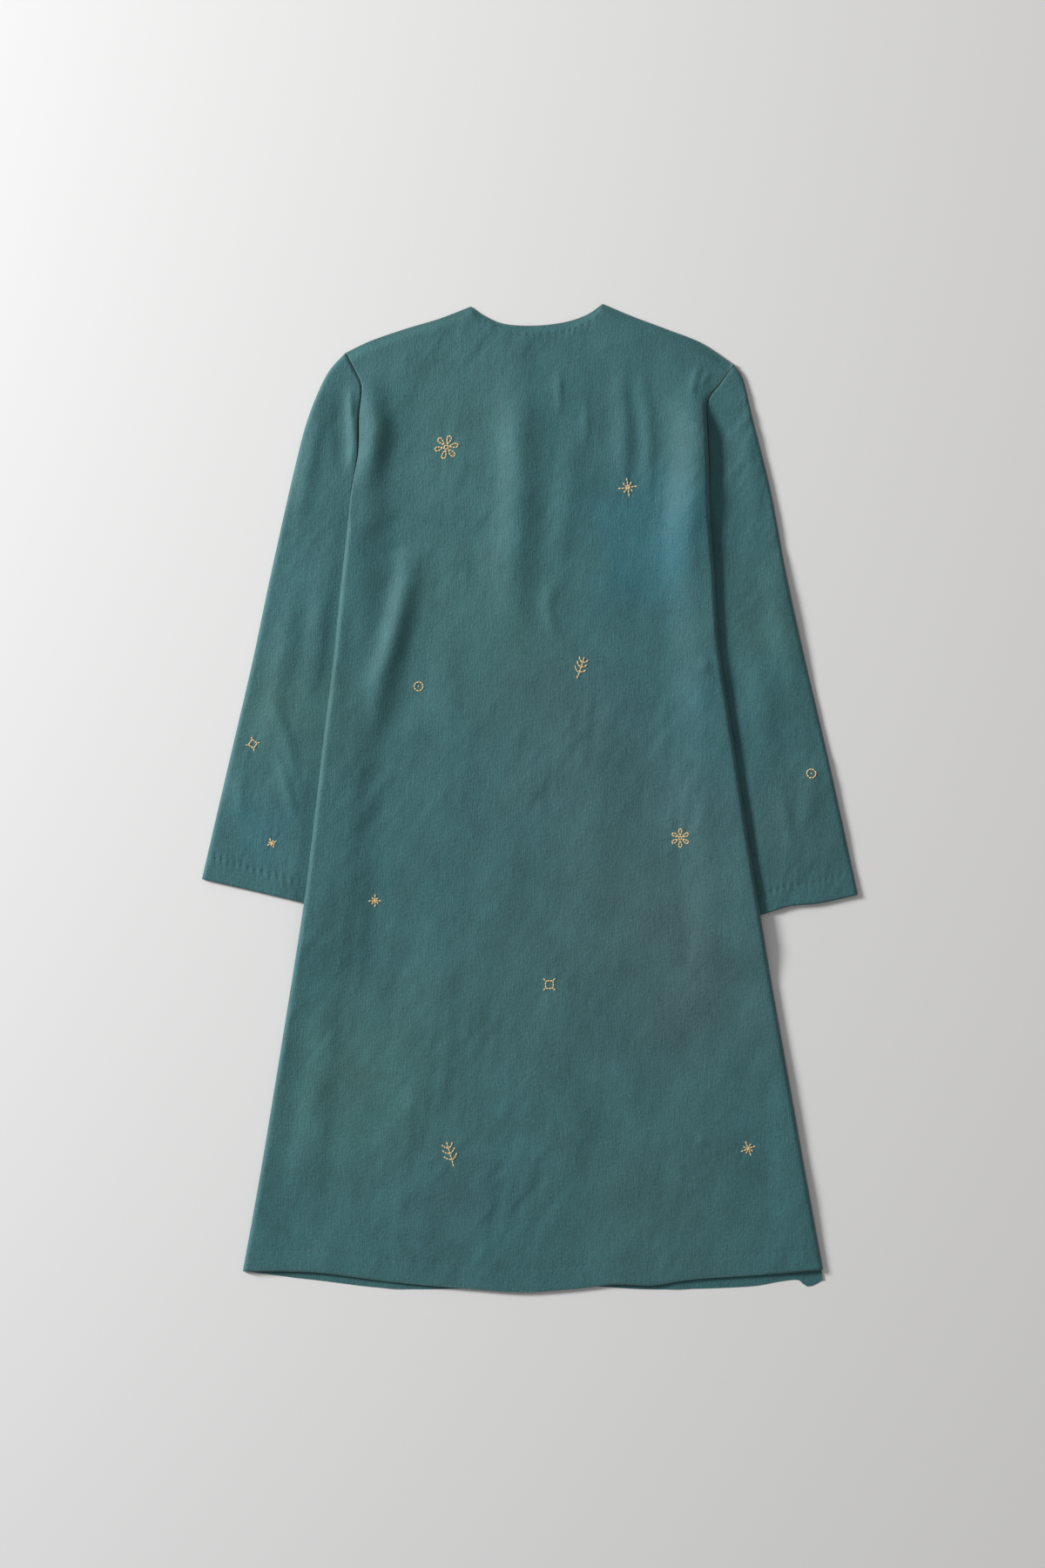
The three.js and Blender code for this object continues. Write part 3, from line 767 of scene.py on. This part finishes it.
class Finish:
    """A material and its nodes."""

    def __init__(self, name):
        self.material = bpy.data.materials.new(name)
        self.material.use_nodes = True
        self.nodes = self.material.node_tree.nodes
        self.links = self.material.node_tree.links
        self.shader = self.nodes["Principled BSDF"]

    def add(self, kind, settings=None, inputs=None, output=0):
        """One node: its settings first, then the values or links of its sockets."""
        node = self.nodes.new(kind)
        for key, value in (settings or {}).items():
            setattr(node, key, value)
        for key, value in (inputs or {}).items():
            self.feed(node.inputs[key], value)
        return Socket(self, node.outputs[output])

    def feed(self, socket, value):
        """Links a socket, or sets it to a plain value."""
        if isinstance(value, Socket):
            self.links.new(value.link, socket)
        else:
            socket.default_value = value

    def surface(self, **values):
        """Sets the shader's sockets, named with _ for spaces."""
        for key, value in values.items():
            self.feed(self.shader.inputs[key.replace("_", " ")], value)
        return self.material

    def grains(self, place, across, along, detail=2.0, roughness=0.5):
        """Noise stretched to across by along millimetres, from 0 to 1."""
        spread = self.add(
            "ShaderNodeVectorMath", {"operation": "MULTIPLY"},
            {0: place, 1: (1000.0 / across, 1000.0 / along, 1000.0 / across)},
        )
        return self.add(
            "ShaderNodeTexNoise", {},
            {"Vector": spread, "Scale": 1.0, "Detail": detail, "Roughness": roughness},
        )

    def mix(self, amount, first, second, blend="MIX"):
        """Colours mixed by amount."""
        return self.add(
            "ShaderNodeMix", {"data_type": "RGBA", "blend_type": blend, "clamp_factor": True},
            {0: amount, 6: first, 7: second}, output=2,
        )


def rgba(colour):
    """A colour with full opacity."""
    return (*colour, 1.0)


def cloth_material(settings):
    """Hand-dyed silk: cloudy dye, a slubby plain weave and a low sheen."""
    finish = Finish("dyed_silk")
    place = finish.add("ShaderNodeTexCoord", output=3)
    dye = finish.add("ShaderNodeVertexColor", {"layer_name": "dye"})
    parts = finish.nodes.new("ShaderNodeSeparateColor")
    finish.feed(parts.inputs[0], dye)
    blue, green, grey = (Socket(finish, parts.outputs[i]) for i in range(3))
    deep = Socket(finish, dye.link.node.outputs["Alpha"])
    warp = finish.grains(place, 1.3, 16.0, 3.0, 0.6)
    weft = finish.grains(place, 12.0, 1.2, 3.0, 0.6)
    crepe = finish.grains(place, 2.4, 3.4, 4.0, 0.65)
    cloudy = finish.grains(place, 46.0, 60.0, 4.0, 0.6)
    colour = finish.mix(blue * 0.9, rgba(settings.base), rgba(settings.blue))
    colour = finish.mix(green * 0.9, colour, rgba(settings.green))
    colour = finish.mix(grey * 0.9, colour, rgba(settings.grey))
    colour = finish.mix(deep * 0.7, colour, rgba(settings.worn))
    streak = (warp - 0.5) * 0.5 + (weft - 0.5) * 0.25 + (crepe - 0.5) * 0.7 + (cloudy - 0.5) * 0.6
    value = streak + 1.0
    shade = finish.add("ShaderNodeCombineColor", {}, {0: value, 1: value, 2: value})
    colour = finish.mix(1.0, colour, shade, "MULTIPLY")
    weave = warp * 0.5 + weft * 0.35 + crepe * 0.9
    bump = finish.add(
        "ShaderNodeBump", {}, {"Height": weave, "Strength": 0.8, "Distance": settings.weave_depth}
    )
    return finish.surface(
        Base_Color=colour, Roughness=crepe * 0.16 + 0.5, Normal=bump, Specular_IOR_Level=0.3,
        Sheen_Weight=0.12, Sheen_Roughness=0.45,
    )


def thread_material(name, colour, variation):
    """Twisted thread, a little lighter and darker along its length."""
    finish = Finish(name)
    place = finish.add("ShaderNodeTexCoord", output=3)
    twist = finish.grains(place, 0.7, 0.7, 1.0)
    long = finish.grains(place, 9.0, 9.0, 2.0)
    value = (twist - 0.5) * variation + (long - 0.5) * variation + 1.0
    shade = finish.add("ShaderNodeCombineColor", {}, {0: value, 1: value, 2: value})
    bump = finish.add("ShaderNodeBump", {}, {"Height": twist, "Strength": 0.4, "Distance": 0.0002})
    return finish.surface(
        Base_Color=finish.mix(1.0, rgba(colour), shade, "MULTIPLY"), Roughness=twist * 0.2 + 0.4,
        Normal=bump, Sheen_Weight=0.15,
    )


def paper_material(settings):
    """A plain pale floor, painted a little darker and warmer as shade on the side away from the lamp."""
    finish = Finish("pale_floor")
    place = finish.add("ShaderNodeTexCoord", output=3)
    parts = finish.nodes.new("ShaderNodeSeparateXYZ")
    finish.feed(parts.inputs[0], place)
    # Painted shade: the floor blends to a slightly darker, warmer colour towards the right, away from the
    # lamp
    across = Socket(finish, parts.outputs[0]).between(-0.7, 0.7)
    colour = finish.mix(across, rgba(settings.floor_left), rgba(settings.floor_shaded_right))
    return finish.surface(Base_Color=colour, Roughness=0.9, Specular_IOR_Level=0.1)


# ---------------------------------------------------------------- settings

class ClothSettings(bpy.types.PropertyGroup):
    base: bpy.props.FloatVectorProperty(
        name="Base dye", description="Main colour of the cloth", subtype="COLOR", size=3,
        default=(0.043, 0.140, 0.150), min=0, max=1,
    )
    blue: bpy.props.FloatVectorProperty(
        name="Blue dye", description="Where the dye took bluer", subtype="COLOR", size=3,
        default=(0.032, 0.148, 0.182), min=0, max=1,
    )
    green: bpy.props.FloatVectorProperty(
        name="Green dye", description="Where the dye took greener", subtype="COLOR", size=3,
        default=(0.058, 0.156, 0.144), min=0, max=1,
    )
    grey: bpy.props.FloatVectorProperty(
        name="Grey dye", description="Where the dye took duller", subtype="COLOR", size=3,
        default=(0.051, 0.124, 0.136), min=0, max=1,
    )
    worn: bpy.props.FloatVectorProperty(
        name="Worn edges", description="Colour along seams and edges", subtype="COLOR", size=3,
        default=(0.115, 0.160, 0.135), min=0, max=1,
    )
    weave_depth: bpy.props.FloatProperty(
        name="Weave depth", description="Depth of the weave and its slubs", default=0.0010,
        min=0.0, max=0.003, subtype="DISTANCE", unit="LENGTH", precision=5,
    )
    columns: bpy.props.IntProperty(
        name="Columns", description="Steps across the back", default=225, min=40, max=260,
    )
    rows: bpy.props.IntProperty(
        name="Rows", description="Steps down the back", default=380, min=60, max=420,
    )


class ThreadSettings(bpy.types.PropertyGroup):
    sewing: bpy.props.FloatVectorProperty(
        name="Sewing thread", description="Colour of the hems' stitches", subtype="COLOR", size=3,
        default=(0.030, 0.078, 0.082), min=0, max=1,
    )
    embroidery: bpy.props.FloatVectorProperty(
        name="Embroidery thread", description="Colour of the scattered motifs", subtype="COLOR", size=3,
        default=(0.74, 0.54, 0.28), min=0, max=1,
    )
    embroidery_radius: bpy.props.FloatProperty(
        name="Embroidery radius", description="Half the width of an embroidery stitch",
        default=0.00085, min=0.0002, max=0.002, subtype="DISTANCE", unit="LENGTH", precision=5,
    )
    sewing_radius: bpy.props.FloatProperty(
        name="Sewing radius", description="Half the width of a sewing stitch",
        default=0.00035, min=0.0001, max=0.001, subtype="DISTANCE", unit="LENGTH", precision=5,
    )


class StageSettings(bpy.types.PropertyGroup):
    floor_left: bpy.props.FloatVectorProperty(
        name="Floor by the lamp", description="Floor colour on the left", subtype="COLOR", size=3,
        default=(0.80, 0.80, 0.80), min=0, max=1,
    )
    # Painted shade: the floor's colour on the side away from the lamp, a little darker and warmer
    floor_shaded_right: bpy.props.FloatVectorProperty(
        name="Floor away from the lamp", description="Floor colour on the right", subtype="COLOR", size=3,
        default=(0.80, 0.792, 0.785), min=0, max=1,
    )
    lamp_power: bpy.props.FloatProperty(
        name="Lamp power", description="Power of the large soft lamp", default=330.0, min=0.0,
        max=2000.0, unit="POWER",
    )
    lamp_size: bpy.props.FloatProperty(
        name="Lamp size", description="Width of the soft lamp", default=1.5, min=0.1, max=6.0,
        subtype="DISTANCE", unit="LENGTH",
    )
    room_light: bpy.props.FloatProperty(
        name="Room light", description="Even light from all round", default=0.3, min=0.0, max=4.0,
    )
    camera_height: bpy.props.FloatProperty(
        name="Camera height", description="Height of the camera over the table", default=3.2,
        min=1.0, max=8.0, subtype="DISTANCE", unit="LENGTH",
    )


# ---------------------------------------------------------------- operators

def cloth():
    """The cloth's material, made once."""
    made = bpy.data.materials.get("dyed_silk")
    return made or cloth_material(bpy.context.scene.tunic_cloth)


def settle(piece, node, material):
    """Gives a cloth piece its material and body, and hides the model's part that it stands for."""
    piece.data.materials.append(material)
    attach(piece, "root")
    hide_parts(node)


class TUNIC_OT_front(bpy.types.Operator):
    """Make the front, which lies on the table"""

    bl_idname = "tunic.front"
    bl_label = "Front"

    def execute(self, context):
        u = crowded(FRONT_COLUMNS, FRONT_WIDTH, EDGE_STEPS)[None, :]
        v = np.linspace(0.0, 1.0, FRONT_ROWS)[:, None]
        u, v = np.broadcast_arrays(u, v)
        x, y, z = front_top(u, v)
        from_side = np.minimum(x - FRONT.left.at(v)[0], FRONT.right.at(v)[0] - x)
        # Upside down, so that the front's dye differs from the back's
        piece = grid_mesh("front_cloth", x, y, z, dye_at(x, -y, from_side))
        settle(piece, "front", cloth())
        return {"FINISHED"}


class TUNIC_OT_pockets(bpy.types.Operator):
    """Give the pocket bags, between the front and the back, their cloth"""

    bl_idname = "tunic.pockets"
    bl_label = "Pocket bags"

    def execute(self, context):
        lining = thread_material("pocket_cloth", (0.045, 0.120, 0.125), 0.2)
        for name in ("pocket_left", "pocket_right"):
            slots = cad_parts[name].material_slots
            slots[0].material = lining
        return {"FINISHED"}


class TUNIC_OT_sleeves(bpy.types.Operator):
    """Make both sleeves, as flattened tubes open at the armhole and the cuff"""

    bl_idname = "tunic.sleeves"
    bl_label = "Sleeves"

    def execute(self, context):
        over = crowded(SLEEVE_TOP_COLUMNS, SLEEVE_WIDTH, EDGE_STEPS)
        under = 1.0 + crowded(SLEEVE_UNDER_COLUMNS, SLEEVE_WIDTH, EDGE_STEPS)[1:-1]
        around = np.concatenate([over, under])[None, :]
        down = np.linspace(0.005, 0.996, SLEEVE_ROWS)
        rows = np.concatenate([[0.0, 0.0006, 0.0016, 0.003], down, [0.998, 1.0]])
        around, v = np.broadcast_arrays(around, rows[:, None])
        for name, cut in SLEEVES.items():
            x, y, z = sleeve_ring(name, around, v)
            u = np.where(around <= 1.0, around, 2.0 - around)
            from_edge = np.minimum(u, 1 - u) * 150.0
            from_edge = np.minimum(from_edge, v * SLEEVE_LENGTH)
            piece = grid_mesh(f"{name}_cloth", x, y, z, dye_at(x, y, from_edge), wrap=True)
            settle(piece, name, cloth())
        return {"FINISHED"}


class TUNIC_OT_back(bpy.types.Operator):
    """Make the back, the uppermost layer, with its creases"""

    bl_idname = "tunic.back"
    bl_label = "Back"

    def execute(self, context):
        settings = context.scene.tunic_cloth
        columns = crowded(settings.columns, BACK_WIDTH, EDGE_STEPS)
        down = np.linspace(0.004, 0.996, settings.rows)
        rows = np.concatenate([[0.0, 0.0008, 0.002], down, [0.9975, 0.9988, 1.0]])
        u, v = np.broadcast_arrays(columns[None, :], rows[:, None])
        x, y, z = body_top(u, v)
        from_side = np.minimum(x - BACK.left.at(v)[0], BACK.right.at(v)[0] - x)
        from_end = np.minimum(v, 1 - v) * PANEL_HEIGHT
        dye = dye_at(x, y, np.minimum(from_side, from_end))
        piece = grid_mesh("back_cloth", x, y, z, dye)
        settle(piece, "back", cloth())
        return {"FINISHED"}


def line_on(cut, us, vs):
    """Places along a line that keeps to shares of a cut piece."""
    u, v = np.broadcast_arrays(np.array(us, float), np.array(vs, float))
    return np.column_stack(cut.place(u, v))


class TUNIC_OT_stitches(bpy.types.Operator):
    """Sew the neck, hem, cuffs and pocket mouths with rows of small hand stitches"""

    bl_idname = "tunic.stitches"
    bl_label = "Stitches"

    def execute(self, context):
        settings = context.scene.tunic_thread
        rng = np.random.default_rng(7)
        material = thread_material("sewing_thread", settings.sewing, 0.3)
        back = Placer(bpy.data.objects["back_cloth"])
        steps = np.linspace(0.0, 1.0, 200)
        round_neck = NECK_FROM + 0.01 + (NECK_TO - NECK_FROM - 0.02) * steps
        lines = [
            line_on(BACK, 0.008 + 0.984 * steps, 1 - HEM_STITCH / PANEL_HEIGHT),
            line_on(BACK, round_neck, NECK_STITCH / PANEL_HEIGHT),
        ]
        stitches = []
        for line in lines:
            stitches += running_stitches(back, line, HEM_LENGTH, STITCH_PITCH, rng)
        for line in POCKET_LINES:
            stitches += running_stitches(back, line, POCKET_LENGTH, POCKET_PITCH, rng, 0.1)
        for name, cut in SLEEVES.items():
            sleeve = Placer(bpy.data.objects[f"{name}_cloth"])
            line = line_on(cut, 0.02 + 0.96 * steps, 1 - CUFF_STITCH / SLEEVE_LENGTH)
            found = running_stitches(sleeve, line, CUFF_LENGTH, STITCH_PITCH, rng)
            # A sleeve's stitches show only where the body doesn't lie on it
            stitches += [s for s in found if back.height(*s[0][:2]) is None]
        piece = thread_mesh("sewing_stitches", stitches, settings.sewing_radius / MM)
        piece.data.materials.append(material)
        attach(piece, "root")
        return {"FINISHED"}


class TUNIC_OT_embroidery(bpy.types.Operator):
    """Scatter small embroidered flowers, stars, sprigs, rings and diamonds over the tunic"""

    bl_idname = "tunic.embroidery"
    bl_label = "Embroidery"

    def execute(self, context):
        settings = context.scene.tunic_thread
        rng = np.random.default_rng(17)
        material = thread_material("embroidery_thread", settings.embroidery, 0.35)
        placers = {name: Placer(bpy.data.objects[f"{name}_cloth"]) for name in ("back", *SLEEVES)}
        stitches = []
        for shape, x, y, size, turn in EMBROIDERY:
            sleeve = "sleeve_left" if x < 0 else "sleeve_right"
            name = sleeve if placers["back"].height(x, y) is None else "back"
            angle = math.radians(turn)
            for line in SHAPES[shape]():
                places = np.array(line) * size / 2
                turned = np.column_stack([
                    x + places[:, 0] * math.cos(angle) - places[:, 1] * math.sin(angle),
                    y + places[:, 0] * math.sin(angle) + places[:, 1] * math.cos(angle),
                ])
                run = run_along(turned)
                count = max(1, round(run[-1] / EMBROIDERY_LENGTH))
                ends = np.linspace(0.0, run[-1], count + 1)
                along = np.column_stack([np.interp(ends, run, turned[:, i]) for i in (0, 1)])
                along += rng.normal(0.0, 0.18, along.shape)
                for start, end in zip(along[:-1], along[1:]):
                    stitch = stitch_on(placers[name], start, end, 0.45, 0.05)
                    if stitch:
                        stitches.append(stitch)
        piece = thread_mesh("embroidery", stitches, settings.embroidery_radius / MM)
        piece.data.materials.append(material)
        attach(piece, "root")
        return {"FINISHED"}


class TUNIC_OT_stage(bpy.types.Operator):
    """Set up the floor, the soft lamp, the room light and the camera"""

    bl_idname = "tunic.stage"
    bl_label = "Stage"

    def execute(self, context):
        settings = context.scene.tunic_stage
        bpy.ops.mesh.primitive_plane_add(size=16.0, location=(0.0, 0.0, -0.0002))
        floor = context.object
        floor.name = "table"
        floor.data.materials.append(paper_material(settings))

        lamp = bpy.data.lights.new("soft_lamp", "AREA")
        lamp.energy = settings.lamp_power
        lamp.shape = "DISK"
        lamp.size = settings.lamp_size
        lamp_object = bpy.data.objects.new("soft_lamp", lamp)
        lamp_object.location = (-4.2, 1.9, 2.4)
        towards = -lamp_object.location
        lamp_object.rotation_euler = towards.to_track_quat("-Z", "Y").to_euler()
        context.collection.objects.link(lamp_object)

        world = bpy.data.worlds.new("room")
        world.use_nodes = True
        background = world.node_tree.nodes["Background"]
        background.inputs["Color"].default_value = (1.0, 1.0, 1.0, 1.0)
        background.inputs["Strength"].default_value = settings.room_light
        context.scene.world = world

        camera = bpy.data.cameras.new("camera")
        camera.sensor_width = SENSOR
        camera.lens = SENSOR * settings.camera_height / VIEW_HEIGHT
        camera_object = bpy.data.objects.new("camera", camera)
        aim_x, aim_y = (VIEW_MIDDLE - MIDDLE) * MM
        camera_object.location = (aim_x, aim_y, settings.camera_height)
        context.collection.objects.link(camera_object)
        context.scene.camera = camera_object
        context.scene.view_settings.view_transform = "Standard"
        return {"FINISHED"}


class TUNIC_PT_panel(bpy.types.Panel):
    """Lists the steps that make the tunic"""

    bl_label = "Kurta Tunic"
    bl_idname = "TUNIC_PT_panel"
    bl_space_type = "VIEW_3D"
    bl_region_type = "UI"
    bl_category = "Tunic"

    def draw(self, context):
        for operator in OPERATORS:
            self.layout.operator(operator.bl_idname)
        for group in ("tunic_cloth", "tunic_thread", "tunic_stage"):
            settings = getattr(context.scene, group)
            for name in settings.__annotations__:
                self.layout.prop(settings, name)


OPERATORS = (
    TUNIC_OT_front,
    TUNIC_OT_pockets,
    TUNIC_OT_sleeves,
    TUNIC_OT_back,
    TUNIC_OT_stitches,
    TUNIC_OT_embroidery,
    TUNIC_OT_stage,
)
CLASSES = (ClothSettings, ThreadSettings, StageSettings, *OPERATORS, TUNIC_PT_panel)


def register():
    for item in CLASSES:
        bpy.utils.register_class(item)
    bpy.types.Scene.tunic_cloth = bpy.props.PointerProperty(type=ClothSettings)
    bpy.types.Scene.tunic_thread = bpy.props.PointerProperty(type=ThreadSettings)
    bpy.types.Scene.tunic_stage = bpy.props.PointerProperty(type=StageSettings)


def unregister():
    del bpy.types.Scene.tunic_stage
    del bpy.types.Scene.tunic_thread
    del bpy.types.Scene.tunic_cloth
    for item in reversed(CLASSES):
        bpy.utils.unregister_class(item)


def main():
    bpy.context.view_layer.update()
    register()
    bpy.ops.tunic.front()
    bpy.ops.tunic.pockets()
    bpy.ops.tunic.sleeves()
    bpy.ops.tunic.back()
    bpy.ops.tunic.stitches()
    bpy.ops.tunic.embroidery()
    bpy.ops.tunic.stage()


if __name__ == "__main__":
    main()
